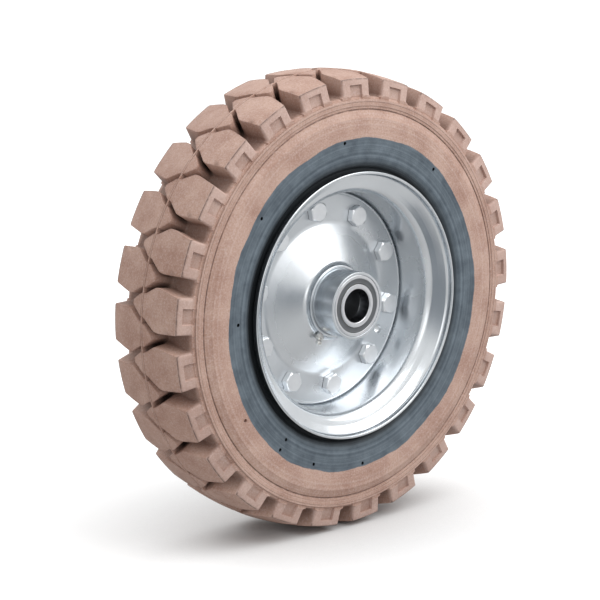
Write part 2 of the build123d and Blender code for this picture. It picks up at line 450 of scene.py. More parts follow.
def cut_away(piece: bpy.types.Object, cutter: Mesh) -> None:
    """Cut one mesh out of a piece and keep the result as the piece's own mesh.

    Args:
        piece: the object that is cut.
        cutter: the closed mesh that is taken out, freed here.
    """
    tool = make_object("cutter", cutter)
    modifier = piece.modifiers.new("holes", "BOOLEAN")
    modifier.operation = "DIFFERENCE"
    modifier.solver = "EXACT"
    modifier.object = tool
    shaped = piece.evaluated_get(bpy.context.evaluated_depsgraph_get())
    result = bpy.data.meshes.new_from_object(shaped)
    piece.modifiers.remove(modifier)
    before = piece.data
    name = before.name
    piece.data = result
    bpy.data.meshes.remove(before)
    result.name = name
    tool_mesh = tool.data
    bpy.data.objects.remove(tool)
    bpy.data.meshes.remove(tool_mesh)


def make_piece(
    name: str,
    bm: Mesh,
    body: str,
    finish: Material,
    nodes: Sequence[str],
    crease: float = 32.0,
    cutter: Mesh | None = None,
) -> bpy.types.Object:
    """Turn a finished mesh into a piece that rides on a body and stands for CAD nodes.

    Args:
        name: the piece's name.
        bm: its mesh, freed here.
        body: the CAD body that it rides on.
        finish: its material.
        nodes: the CAD nodes that it replaces.
        crease: the angle in degrees past which an edge is shaded sharp.
        cutter: a closed mesh that is cut out of it first.

    Returns:
        The new object.
    """
    piece = make_object(name, bm)
    if cutter is not None:
        cut_away(piece, cutter)
    mesh = piece.data
    mesh.shade_smooth()
    mesh.set_sharp_from_angle(angle=math.radians(crease))
    mesh.materials.clear()
    mesh.materials.append(finish)
    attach(piece, body)
    if nodes:
        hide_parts(*nodes)
    LOG.info("%s: %d faces, rides on %s", name, len(mesh.polygons), body)
    return piece


# Finishes


def layered(tree: Tree, ground: object, layers: Iterable[tuple[Socket, object]]) -> Socket:
    """Lay colours over a ground, one after another.

    Args:
        tree: the material's node tree.
        ground: the lowest colour, a value or a socket.
        layers: each layer's share from 0 to 1, and its colour.

    Returns:
        The colour that shows.
    """
    colour = ground
    for share, coat in layers:
        mixed = add_node(tree, "ShaderNodeMix", {0: share, 6: colour, 7: coat}, data_type="RGBA")
        colour = mixed.outputs[2]
    return colour


def overlap(tree: Tree, *shares: Socket) -> Socket:
    """Find where several shares lie over one another.

    Args:
        tree: the material's node tree.
        shares: the shares, from 0 to 1.

    Returns:
        Their product.
    """
    whole = shares[0]
    for share in shares[1:]:
        whole = add_node(tree, "ShaderNodeMath", {0: whole, 1: share}, operation="MULTIPLY").outputs[0]
    return whole


def about_axle(tree: Tree, place: Socket) -> tuple[Socket, Socket]:
    """Measure a surface from the axle.

    Args:
        tree: the material's node tree.
        place: the Object coordinates.

    Returns:
        The distance from the axle and the place along it, in metres.
    """
    axes = add_node(tree, "ShaderNodeSeparateXYZ", {0: place})
    flat = add_node(tree, "ShaderNodeCombineXYZ", {"X": axes.outputs["X"], "Z": axes.outputs["Z"]})
    radius = add_node(tree, "ShaderNodeVectorMath", {0: flat.outputs[0]}, operation="LENGTH")
    return radius.outputs["Value"], axes.outputs["Y"]


@dataclass(frozen=True)
class MouldedSurface:
    """A rubber's node tree and what its patterns follow, in metres: coordinates, radius and distance out."""

    tree: Tree
    place: Socket
    radius: Socket
    far: Socket
    # The fine rings that the turned mould leaves, and the share of the sidewall, where they show.
    rings: Socket
    wall: Socket


@dataclass(frozen=True)
class TyreRubber:
    """Compression-moulded solid tyre rubber, brown outside and slate inside.

    The two compounds meet on a ragged ring, because both flow as the mould closes. Moulding leaves the brown
    one matt with cloudy stains, and the sidewall keeps the fine rings of the turned mould. The shoulders' side
    faces are paler, and a thin dark line runs along each shoulder. Painted shade darkens the tread's pockets
    and grooves, the seam's borders, the sidewall's groove and crevice, the slate by the rim and the vent pits.
    Lengths are in mm.
    """

    name: str
    brown: str = "#BF9F90"
    brown_stain: str = "#987161"
    brown_bloom: str = "#DDCBC6"
    # The darkest brown paints shade in the pockets, grooves and sidewall hollows and shadow along the seam,
    # and draws thin dark lines.
    brown_shade_and_lines: str = "#2E1F18"
    slate: str = "#4A545D"
    slate_bloom: str = "#78848D"
    # The darkest slate paints shade by the rim and down the vent pits.
    slate_painted_shade: str = "#0C1013"
    bond_radius: float = 148.4
    bond_wave: float = 1.5
    ring_spacing: float = 2.3
    roughness: float = 0.6
    # How much of the stain the most stained lug takes all over. The share is drawn by mesh island. The lugs'
    # draws repeat from run to run, but the ring's doesn't, so its tone can move by about 3 levels of 255.
    lug_stain: float = 0.22
    # The sidewall's marks begin and are full at these distances from the mid-plane.
    wall_reach: tuple[float, float] = (43.8, 44.6)
    # Two dark lines on the lug tops as (distance from the mid-plane, half width, strength): a thin line along
    # the shoulder, then painted shadow along each border of the raised seam.
    tread_lines: tuple[Corner, ...] = ((40.5, 0.5, 0.62), (1.05, 0.3, 0.5))
    # Each dark line of the sidewall as (radius, half width, strength). The lines at 172.7 and 182.2 are
    # painted shade in the ring's groove and in the crevice under the lugs.
    wall_lines: tuple[Corner, ...] = (
        (172.7, 0.55, 0.8),
        (179.3, 0.3, 0.45),
        (175.5, 0.3, 0.35),
        (182.2, 0.7, 0.7),
    )

    def build(self) -> Material:
        """Build the material.

        Returns:
            A material that reads Object coordinates, with a brown that differs a little from lug to lug.
        """
        material = blank_material(self.name)
        tree = material.node_tree
        surface = self._surface(tree)
        colour = layered(tree, self._slate(surface), [(self._brown_share(surface), self._brown(surface))])
        swell = add_node(tree, "ShaderNodeTexNoise", {"Vector": surface.place, "Scale": 60.0, "Detail": 2.0})
        matt, matter = self.roughness - 0.1, self.roughness + 0.1
        rough = add_node(tree, "ShaderNodeMapRange", {0: swell.outputs["Fac"], 3: matt, 4: matter})
        shader = add_node(
            tree,
            "ShaderNodeBsdfPrincipled",
            {
                "Base Color": colour,
                "Roughness": rough.outputs[0],
                "Normal": self._relief(surface),
                "Specular IOR Level": 0.35,
            },
        )
        add_node(tree, "ShaderNodeOutputMaterial", {"Surface": shader.outputs[0]})
        return material

    def _surface(self, tree: Tree) -> MouldedSurface:
        """Measure the surface that the patterns follow.

        Args:
            tree: the material's node tree.

        Returns:
            Its coordinates and lengths, and the turned rings, which change with radius only.
        """
        place = add_node(tree, "ShaderNodeTexCoord").outputs["Object"]
        radius, y = about_axle(tree, place)
        far = add_node(tree, "ShaderNodeMath", {0: y}, operation="ABSOLUTE").outputs[0]
        along = add_node(tree, "ShaderNodeCombineXYZ", {"X": radius}).outputs[0]
        scale = 1 / (self.ring_spacing * MM)
        rings = add_node(tree, "ShaderNodeTexNoise", {"Vector": along, "Scale": scale, "Detail": 3.0})
        start, full = (edge * MM for edge in self.wall_reach)
        wall = add_node(tree, "ShaderNodeMapRange", {0: far, 1: start, 2: full})
        return MouldedSurface(tree, place, radius, far, rings.outputs["Fac"], wall.outputs[0])

    def _band(self, tree: Tree, value: Socket, middle: float, half: float, strength: float) -> Socket:
        """Return a soft band.

        Args:
            tree: the material's node tree.
            value: the length in metres that the band lies on.
            middle: the band's middle, in mm.
            half: half its width, in mm.
            strength: its value in the middle.

        Returns:
            The strength in the middle, falling to 0 at one and a half times the half width.
        """
        off = add_node(tree, "ShaderNodeMath", {0: value, 1: middle * MM}, operation="SUBTRACT")
        away = add_node(tree, "ShaderNodeMath", {0: off.outputs[0]}, operation="ABSOLUTE")
        near, gone = half * 0.5 * MM, half * 1.5 * MM
        limits = {0: away.outputs[0], 1: near, 2: gone, 3: strength, 4: 0.0}
        return add_node(tree, "ShaderNodeMapRange", limits).outputs[0]

    def _brown(self, surface: MouldedSurface) -> Socket:
        """Colour the brown compound.

        Args:
            surface: what its patterns follow.

        Returns:
            Stains about 25 mm across under a fine speckle, pale shoulders, thin dark lines, painted shade in
            the pockets, grooves and hollows, and painted shadow along the seam.
        """
        tree, place = surface.tree, surface.place
        base, stain, bloom, deep = (
            srgb(code) for code in (self.brown, self.brown_stain, self.brown_bloom, self.brown_shade_and_lines)
        )
        clouds = {"Vector": place, "Scale": 34.0, "Detail": 8.0, "Roughness": 0.62}
        cloud = add_node(tree, "ShaderNodeTexNoise", clouds).outputs["Fac"]
        clean = add_node(tree, "ShaderNodeMapRange", {0: cloud, 1: 0.3, 2: 0.6, 3: 0.25})
        specks = {"Vector": place, "Scale": 620.0, "Detail": 5.0, "Roughness": 0.7}
        speckle = add_node(tree, "ShaderNodeTexNoise", specks).outputs["Fac"]
        pale = add_node(tree, "ShaderNodeMapRange", {0: speckle, 1: 0.48, 2: 0.72, 4: 0.45})
        dark = add_node(tree, "ShaderNodeMapRange", {0: speckle, 1: 0.44, 2: 0.3, 4: 0.5})
        streak = add_node(tree, "ShaderNodeMapRange", {0: surface.rings, 1: 0.5, 2: 0.75, 4: 0.3})
        chance = add_node(tree, "ShaderNodeNewGeometry").outputs["Random Per Island"]
        lug = add_node(tree, "ShaderNodeMapRange", {0: chance, 4: self.lug_stain})
        layers = [
            (clean.outputs[0], base),
            (pale.outputs[0], bloom),
            (dark.outputs[0], stain),
            (overlap(tree, streak.outputs[0], surface.wall), bloom),
            (self._shoulder_bloom(surface), bloom),
            (lug.outputs[0], stain),
        ]
        # Painted shade and shadow, and the thin dark lines, all in the darkest brown.
        layers += [(share, deep) for share in self._dark_lines(surface)]
        return layered(tree, stain, layers)

    def _shoulder_bloom(self, surface: MouldedSurface) -> Socket:
        """Find the shoulders' side faces, which are paler.

        Args:
            surface: what the patterns follow.

        Returns:
            The bloom's share.
        """
        tree = surface.tree
        side = add_node(
            tree, "ShaderNodeMapRange", {0: surface.far, 1: 38.5 * MM, 2: 41.1 * MM, 4: 0.22}
        )
        high = add_node(tree, "ShaderNodeMapRange", {0: surface.radius, 1: 183.0 * MM, 2: 186.0 * MM})
        return overlap(tree, side.outputs[0], high.outputs[0])

    def _dark_lines(self, surface: MouldedSurface) -> list[Socket]:
        """Find where the brown compound is dark, mostly from painted shade.

        Args:
            surface: what the patterns follow.

        Returns:
            The shares of painted shade in the pockets and down the grooves, then of the tread's broken lines
            and the sidewall's, which are partly painted shadow and shade.
        """
        tree, radius, far = surface.tree, surface.radius, surface.far
        breaks = {"Vector": surface.place, "Scale": 240.0, "Detail": 3.0}
        broken = add_node(tree, "ShaderNodeTexNoise", breaks).outputs["Fac"]
        gaps = add_node(tree, "ShaderNodeMapRange", {0: broken, 1: 0.34, 2: 0.52, 3: 0.35}).outputs[0]
        # Painted shade: the pockets beside the seam go near black as they deepen.
        deep = add_node(tree, "ShaderNodeMapRange", {0: radius, 1: 201.0 * MM, 2: 191.0 * MM, 4: 0.93})
        middle = add_node(tree, "ShaderNodeMapRange", {0: far, 1: 13.5 * MM, 2: 4.0 * MM})
        # Painted shade: the grooves between the lugs darken towards their floor.
        groove = add_node(tree, "ShaderNodeMapRange", {0: radius, 1: 200.0 * MM, 2: 187.0 * MM, 4: 0.42})
        inside = add_node(tree, "ShaderNodeMapRange", {0: far, 1: 42.0 * MM, 2: 38.0 * MM})
        high = add_node(tree, "ShaderNodeMapRange", {0: radius, 1: 196.0 * MM, 2: 198.0 * MM})
        shares = [
            overlap(tree, deep.outputs[0], middle.outputs[0]),
            overlap(tree, groove.outputs[0], inside.outputs[0]),
        ]
        # The seam's border lines are painted shadow, and the sidewall's lines in its groove and crevice
        # painted shade.
        zones = ((self.tread_lines, far, high.outputs[0]), (self.wall_lines, radius, surface.wall))
        for lines, value, zone in zones:
            for line in lines:
                shares.append(overlap(tree, self._band(tree, value, *line), zone, gaps))
        return shares

    def _slate(self, surface: MouldedSurface) -> Socket:
        """Colour the slate compound.

        Args:
            surface: what its patterns follow.

        Returns:
            A faint streaked bloom, with painted shade dark by the rim and black down the vent pits.
        """
        tree, radius = surface.tree, surface.radius
        clouds = {"Vector": surface.place, "Scale": 70.0, "Detail": 8.0, "Roughness": 0.6}
        cloud = add_node(tree, "ShaderNodeTexNoise", clouds).outputs["Fac"]
        both = add_node(tree, "ShaderNodeMath", {0: cloud, 1: surface.rings}, operation="ADD")
        bloom = add_node(tree, "ShaderNodeMapRange", {0: both.outputs[0], 1: 0.8, 2: 1.25, 4: 0.75})
        # Painted shade: the slate darkens towards the rim, where the flange's lip shades it.
        rim_reach = {0: radius, 1: 122.5 * MM, 2: 130.5 * MM, 3: 0.95, 4: 0.0}
        by_rim = add_node(tree, "ShaderNodeMapRange", rim_reach)
        # Painted shade: the vent pits' walls below the slate's face go black.
        sunk = add_node(tree, "ShaderNodeMapRange", {0: surface.far, 1: 47.6 * MM, 2: 47.2 * MM})
        out = add_node(tree, "ShaderNodeMapRange", {0: radius, 1: 131.0 * MM, 2: 131.5 * MM})
        deep = srgb(self.slate_painted_shade)
        layers = (
            (bloom.outputs[0], srgb(self.slate_bloom)),
            (by_rim.outputs[0], deep),
            (overlap(tree, sunk.outputs[0], out.outputs[0]), deep),
        )
        return layered(tree, srgb(self.slate), layers)

    def _brown_share(self, surface: MouldedSurface) -> Socket:
        """Divide the compounds along the ragged bond line.

        Args:
            surface: what the patterns follow.

        Returns:
            0 inside the line and 1 outside it.
        """
        tree = surface.tree
        waves = {"Vector": surface.place, "Scale": 14.0, "Detail": 9.0, "Roughness": 0.6}
        wave = add_node(tree, "ShaderNodeTexNoise", waves).outputs["Fac"]
        reach = self.bond_wave * 3 * MM
        shift = add_node(tree, "ShaderNodeMapRange", {0: wave, 3: -reach, 4: reach})
        moved = add_node(tree, "ShaderNodeMath", {0: surface.radius, 1: shift.outputs[0]}, operation="ADD")
        low, high = (self.bond_radius - 0.25) * MM, (self.bond_radius + 0.25) * MM
        return add_node(tree, "ShaderNodeMapRange", {0: moved.outputs[0], 1: low, 2: high}).outputs[0]

    def _relief(self, surface: MouldedSurface) -> Socket:
        """Raise the fine grain all over, and the mould's turned rings on the sidewall.

        Args:
            surface: what the patterns follow.

        Returns:
            The normal.
        """
        tree = surface.tree
        grains = {"Vector": surface.place, "Scale": 700.0, "Detail": 4.0}
        grain = add_node(tree, "ShaderNodeTexNoise", grains).outputs["Fac"]
        fine = add_node(tree, "ShaderNodeBump", {"Strength": 0.35, "Distance": 0.5 * MM, "Height": grain})
        rings = overlap(tree, surface.rings, surface.wall)
        ringed = {"Strength": 0.6, "Distance": 0.7 * MM, "Height": rings, "Normal": fine.outputs[0]}
        return add_node(tree, "ShaderNodeBump", ringed).outputs[0]


@dataclass(frozen=True)
class PlatedSteel:
    """Bright zinc on steel that was spun, turned or pressed round the axle.

    The tool leaves fine circular marks, which stretch each highlight across the marks. Lengths are in mm.
    """

    name: str
    colour: str = "#DADEE1"
    shade: str = "#C2C6CA"
    roughness: float = 0.27
    inner_roughness: float = 0.27
    inner_radius: float = 60.0
    anisotropy: float = 0.6
    mark_spacing: float = 0.7
    mark_height: float = 0.02

    def build(self) -> Material:
        """Build the material.

        Returns:
            A metal whose marks run round the axle.
        """
        material = blank_material(self.name)
        tree = material.node_tree
        place = add_node(tree, "ShaderNodeTexCoord").outputs["Object"]
        radius, y = about_axle(tree, place)
        along = add_node(tree, "ShaderNodeCombineXYZ", {"X": radius, "Y": y}).outputs[0]
        scale = 1 / (self.mark_spacing * MM)
        marks = add_node(tree, "ShaderNodeTexNoise", {"Vector": along, "Scale": scale, "Detail": 4.0})
        cloud = add_node(tree, "ShaderNodeTexNoise", {"Vector": place, "Scale": 30.0, "Detail": 4.0})
        patchy = cloud.outputs["Fac"]
        low, high = (self.inner_radius - 2) * MM, (self.inner_radius + 2) * MM
        zones = {0: radius, 1: low, 2: high, 3: self.inner_roughness, 4: self.roughness}
        zone = add_node(tree, "ShaderNodeMapRange", zones)
        uneven = add_node(tree, "ShaderNodeMapRange", {0: patchy, 1: 0.3, 2: 0.7, 3: 0.85, 4: 1.2})
        height = self.mark_height * MM
        relief = {"Strength": 0.3, "Distance": height, "Height": marks.outputs["Fac"]}
        shader = add_node(
            tree,
            "ShaderNodeBsdfPrincipled",
            {
                "Base Color": layered(tree, srgb(self.shade), [(patchy, srgb(self.colour))]),
                "Metallic": 1.0,
                "Roughness": overlap(tree, zone.outputs[0], uneven.outputs[0]),
                "Anisotropic": self.anisotropy,
                "Normal": add_node(tree, "ShaderNodeBump", relief).outputs[0],
                "Tangent": add_node(tree, "ShaderNodeTangent", direction_type="RADIAL", axis="Y").outputs[0],
            },
        )
        add_node(tree, "ShaderNodeOutputMaterial", {"Surface": shader.outputs[0]})
        return material


@dataclass(frozen=True)
class SmallPartFinish:
    """A small part's surface: one colour, slightly clouded, with its own gloss and a fine grain."""

    name: str
    colour: str
    cloud_colour: str
    metallic: float
    roughness: float
    cloud_size: float = 8.0
    grain_height: float = 0.02

    def build(self) -> Material:
        """Build the material.

        Returns:
            A clouded metal or rubber.
        """
        material = blank_material(self.name)
        tree = material.node_tree
        place = add_node(tree, "ShaderNodeTexCoord").outputs["Object"]
        scale = 1 / (self.cloud_size * MM)
        cloud = add_node(tree, "ShaderNodeTexNoise", {"Vector": place, "Scale": scale, "Detail": 4.0})
        grain = add_node(tree, "ShaderNodeTexNoise", {"Vector": place, "Scale": 2500.0, "Detail": 2.0})
        height = self.grain_height * MM
        relief = {"Strength": 0.3, "Distance": height, "Height": grain.outputs["Fac"]}
        clouded = [(cloud.outputs["Fac"], srgb(self.cloud_colour))]
        shader = add_node(
            tree,
            "ShaderNodeBsdfPrincipled",
            {
                "Base Color": layered(tree, srgb(self.colour), clouded),
                "Metallic": self.metallic,
                "Roughness": self.roughness,
                "Normal": add_node(tree, "ShaderNodeBump", relief).outputs[0],
            },
        )
        add_node(tree, "ShaderNodeOutputMaterial", {"Surface": shader.outputs[0]})
        return material


# Sub-assemblies


@dataclass
class Tyre:
    """The solid tyre: an outer ring with two staggered rows of lugs, bonded to a hard base."""

    crown: float = 203.8
    shoulder: float = 199.3
    shoulder_y: float = 40.8
    floor: float = 184.0
    lug_height: float = 20.0
    lugs: int = 25
    first_lug: float = 0.9
    # How far a lug's middle runs along the tread for each mm that it lies out from the mid-plane.
    lug_skew: float = 0.108
    root_depth: float = 4.0
    foot_radius: float = 2.4
    wall_draft: float = 0.9
    edge_radius: float = 0.8
    side_lean: float = 1.7
    side_cut_y: float = 43.75
    recess_half_width: float = 7.6
    recess_top: float = 13.4
    recess_draft: float = 0.8
    recess_depth: float = 2.2
    bond_radius: float = 148.6
    # Half outline of a lug's flat top, from the shoulder to the tip, as (y, half width, rounding).
    lug_top: tuple[Corner, ...] = (
        (-40.2, 15.6, 0.8),
        (-20.5, 18.6, 4.0),
        (-15.5, 18.2, 4.0),
        (-3.0, 9.7, 7.0),
        (2.0, 9.2, 1.6),
        (11.4, 1.6, 1.2),
    )
    # Each vent pit as (radius, angle).
    pits: tuple[tuple[float, float], ...] = (
        (142.9, 140.3),
        (135.1, -127.6),
        (145.6, -127.9),
        (144.0, -110.3),
        (145.3, -86.4),
        (145.5, 49.4),
        (146.0, 95.4),
        (136.8, 178.8),
        (153.0, -147.7),
    )

    def build(self, tread_rubber: Material, base_rubber: Material) -> None:
        """Build the outer tyre and its base.

        Args:
            tread_rubber: the outer tyre's material.
            base_rubber: the base's material.
        """
        front_row = self._lug()
        rear_row = front_row.copy()
        turn_end_for_end(rear_row)
        turn_about_axle(front_row, self.first_lug)
        turn_about_axle(rear_row, self.first_lug + 180 / self.lugs)
        repeat_about_axle(front_row, self.lugs)
        repeat_about_axle(rear_row, self.lugs)
        make_piece(
            "lug_rows", join([front_row, rear_row]), WHEEL, tread_rubber, ["tyre_tread"], 38
        )
        make_piece("parting_flash", self._flash(), WHEEL, tread_rubber, ["tyre_tread"], 38)
        make_piece(
            "tread_ring",
            self._ring(),
            WHEEL,
            tread_rubber,
            ["tyre_tread"],
            crease=38,
            cutter=self._pit_drills(outer=True),
        )
        make_piece(
            "hard_base",
            self._base(),
            WHEEL,
            base_rubber,
            ["tyre_base"],
            crease=38,
            cutter=self._pit_drills(outer=False),
        )

    def _crown_at(self, y: float) -> float:
        """Return the crown's radius in mm at a distance from the mid-plane."""
        return self.crown - (self.crown - self.shoulder) * (y / self.shoulder_y) ** 2

    def _lug(self) -> Mesh:
        """Build one front-row lug, raised flat and then wrapped round the axle at +X.

        Returns:
            The lug's closed mesh, in metres.
        """
        bm = bmesh.new()
        right = [(half, y, bend) for y, half, bend in self.lug_top]
        left = [(-half, y, bend) for half, y, bend in reversed(right)]
        corners = right + left
        verts = [bm.verts.new((x, y, self.lug_height)) for x, y, _ in corners]
        face = bm.faces.new(verts)
        if face.normal.z < 0:
            face.normal_flip()
        round_corners(bm, [(vert, corner[2]) for vert, corner in zip(verts, corners)], 5)
        self._grow_walls(bm)
        self._lean_shoulder(bm)
        self._slice(bm)
        self._sink_recess(bm)
        bmesh.ops.remove_doubles(bm, verts=bm.verts, dist=1e-4)
        bmesh.ops.recalc_face_normals(bm, faces=bm.faces)
        self._wrap(bm)
        # The wrap swaps two axes, which mirrors the lug, so every face is turned outward again.
        bmesh.ops.reverse_faces(bm, faces=bm.faces)
        return bm

    def _grow_walls(self, bm: Mesh) -> None:
        """Grow the lug's rounded edge, drafted wall and foot fillet downwards from its flat top.

        Args:
            bm: the lug's mesh, still flat and in mm.
        """
        top_edges = bm.edges[:]
        foot = bm.faces[:][0]
        foot.normal_update()
        for outward, down in self._wall_steps():
            bmesh.ops.inset_region(
                bm, faces=[foot], use_boundary=True, use_even_offset=True, thickness=-outward, depth=-down
            )
        bmesh.ops.edgeloop_fill(bm, edges=top_edges)

    def _wall_steps(self) -> list[tuple[float, float]]:
        """Return the wall's steps from the top's edge to below the floor, as (outward, down) in mm."""
        rounding = [math.radians(angle) for angle in (0, 30, 60, 90)]
        fillet = [math.radians(angle) for angle in (0, 22, 45, 68, 88)]
        edge, foot = self.edge_radius, self.foot_radius
        steps = [
            (edge * (math.sin(b) - math.sin(a)), edge * (math.cos(a) - math.cos(b)))
            for a, b in zip(rounding, rounding[1:])
        ]
        steps.append((self.wall_draft, self.lug_height - foot - edge))
        steps += [
            (foot * (math.cos(a) - math.cos(b)), foot * (math.sin(b) - math.sin(a)))
            for a, b in zip(fillet, fillet[1:])
        ]
        steps.append((0.0, self.root_depth))
        return steps

    def _lean_shoulder(self, bm: Mesh) -> None:
        """Lean the flat lug's shoulder side outwards, and cut it off square at the tyre's edge.

        Args:
            bm: the lug's mesh, still flat and in mm.
        """
        for vert in bm.verts:
            share = min(max((-30 - vert.co.y) / 8, 0), 1)
            depth = (self.lug_height - max(vert.co.z, 0)) / self.lug_height
            vert.co.y -= share * depth * self.side_lean
        cut = bmesh.ops.bisect_plane(
            bm,
            geom=bm.verts[:] + bm.edges[:] + bm.faces[:],
            dist=1e-5,
            plane_co=(0, -self.side_cut_y, 0),
            plane_no=(0, -1, 0),
            clear_outer=True,
        )
        edges = [item for item in cut["geom_cut"] if isinstance(item, bmesh.types.BMEdge)]
        bmesh.ops.edgeloop_fill(bm, edges=edges)

    def _slice(self, bm: Mesh) -> None:
        """Cut the flat lug across and along so that it can bend, and give the recess its outline.

        Args:
            bm: the lug's mesh, still flat and in mm.
        """
        across = [((0, y, 0), (0, 1, 0)) for y in (-36, -31, -26, -21, -16, -11, -6, -1, 4, 8)]
        window = self.recess_half_width
        along = [((x, 0, 0), (1, 0, 0)) for x in (-12, -window, 0, window, 12)]
        for spot, normal in across + along:
            bmesh.ops.bisect_plane(
                bm, geom=bm.verts[:] + bm.edges[:] + bm.faces[:], dist=1e-5, plane_co=spot, plane_no=normal
            )
        bmesh.ops.recalc_face_normals(bm, faces=bm.faces)
        bm.normal_update()
        side = [face for face in bm.faces if face.normal.y < -0.7]
        geometry: set[object] = set(side)
        for face in side:
            geometry.update(face.edges)
            geometry.update(face.verts)
        bmesh.ops.bisect_plane(
            bm, geom=list(geometry), dist=1e-5, plane_co=(0, 0, self.recess_top), plane_no=(0, 0, 1)
        )

    def _sink_recess(self, bm: Mesh) -> None:
        """Sink the shallow window in the middle of the shoulder side.

        Args:
            bm: the lug's mesh, still flat and in mm.
        """
        bmesh.ops.recalc_face_normals(bm, faces=bm.faces)
        bm.normal_update()
        window = []
        for face in bm.faces:
            middle = face.calc_center_median()
            inside = abs(middle.x) < self.recess_half_width and middle.z < self.recess_top
            if face.normal.y < -0.7 and inside:
                window.append(face)
        bmesh.ops.inset_region(
            bm,
            faces=window,
            use_boundary=True,
            use_even_offset=True,
            thickness=self.recess_draft,
            depth=-self.recess_depth,
        )

    def _wrap(self, bm: Mesh) -> None:
        """Wrap the flat lug round the axle, in metres.

        Args:
            bm: the lug's mesh, still flat and in mm.
        """
        for vert in bm.verts:
            along, y, height = vert.co
            along -= self.lug_skew * y
            reach = (self._crown_at(y) - self.floor) / self.lug_height if height > 0 else 1.0
            radius = self.floor + height * reach
            turn = along / self.crown
            vert.co = Vector((radius * math.cos(turn), y, radius * math.sin(turn))) * MM

    def _ring(self) -> Mesh:
        """Build the ring that carries the lugs, with the sidewall's ridge and groove."""
        half: list[Corner] = [
            (self.bond_radius, 48.3, 0.0),
            (157.0, 48.25, 4.0),
            (165.8, 47.8, 0.6),
            (167.0, 47.1, 0.8),
            (171.9, 45.1, 0.5),
            (172.7, 44.0, 0.2),
            (173.4, 44.8, 0.4),
            (175.1, 44.75, 0.3),
            (175.7, 45.2, 0.4),
            (181.3, 45.15, 0.7),
            (182.1, 42.6, 0.2),
            (183.2, 42.3, 0.4),
            (self.floor, 38.0, 6.0),
        ]
        return turned(mirrored_section(half), steps=200, segments=4)

    def _flash(self) -> Mesh:
        """Build the parting-line web that bridges the grooves, with the fine flash on its top."""
        half: list[Corner] = [
            (self.floor - 2, 3.0, 0.0),
            (self.floor + 2, 1.5, 2.0),
            (self.crown - 4.0, 0.8, 0.4),
            (self.crown - 0.1, 0.62, 0.2),
            (self.crown + 0.2, 0.4, 0.15),
        ]
        return turned(mirrored_section(half), steps=200, segments=3)

    def _base(self) -> Mesh:
        """Build the hard base, from the rim seat out to the bond."""
        half: list[Corner] = [
            (98.8, 0.0, 0.0),
            (98.8, 6.5, 0.0),
            (101.4, 36.1, 4.0),
            (115.3, 42.7, 0.0),
            (120.6, 43.2, 1.0),
            (124.2, 46.0, 2.0),
            (129.5, 47.8, 5.0),
            (self.bond_radius, 48.3, 0.0),
        ]
        return turned(mirrored_section(half), steps=200, segments=5)

    def _pit_drills(self, outer: bool) -> Mesh:
        """Return the vent pits' drills for the outer tyre or for the base."""
        drills = [
            drill(1.6, polar(radius, angle, -45.5), polar(radius, angle, -49.5), 20)
            for radius, angle in self.pits
            if (radius > self.bond_radius) == outer
        ]
        return join(drills)


@dataclass
class SplitRim:
    """Two pressed rim halves and two pressed hub discs, clamped as one stack."""

    sheet: float = 2.5
    cut_edge: float = 0.85
    steps: int = 256
    bolt_circle: float = 80.0
    bolt_hole: float = 5.25
    bolts: int = 10
    first_bolt: float = -11.4
    pin_hole: float = 4.0
    pin_circle: float = 78.5
    pin_angle: float = -29.4
    # Mid-lines as (radius, y, bend radius), drawn for the rear side.
    rim_path: tuple[Corner, ...] = (
        (70.0, 1.25, 0.0),
        (97.55, 1.25, 3.25),
        (100.04, 36.87, 9.0),
        (109.2, 40.9, 6.0),
        (117.75, 45.6, 5.0),
        (117.75, 51.6, 0.0),
    )
    disc_path: tuple[Corner, ...] = (
        (94.0, 3.75, 0.0),
        (68.0, 3.75, 12.0),
        (31.25, 18.6, 7.0),
        (31.25, 25.0, 0.0),
    )

    def build(self, rim_finish: Material, disc_finish: Material) -> None:
        """Build both rim halves and both discs.

        Args:
            rim_finish: the rim halves' material.
            disc_finish: the discs' material.
        """
        parts = (("rim_half", self.rim_path, rim_finish), ("hub_disc", self.disc_path, disc_finish))
        for side in Side:
            for part, path, finish in parts:
                bm = turned(sheet_section(path, self.sheet, self.cut_edge), steps=self.steps, segments=10)
                if side is Side.FRONT:
                    mirror_to_other_side(bm)
                node = f"{side.label}_{part}"
                make_piece(
                    f"pressed_{node}",
                    bm,
                    WHEEL,
                    finish,
                    [node],
                    cutter=self._hole_drills(),
                )

    def _hole_drills(self) -> Mesh:
        """Return the drills for the bolt holes and for the lining-up hole."""
        places = [
            (self.bolt_hole, self.bolt_circle, self.first_bolt + 360 * index / self.bolts)
            for index in range(self.bolts)
        ]
        places.append((self.pin_hole, self.pin_circle, self.pin_angle))
        return join(
            drill(radius, polar(circle, angle, -12.0), polar(circle, angle, 12.0), 40)
            for radius, circle, angle in places
        )


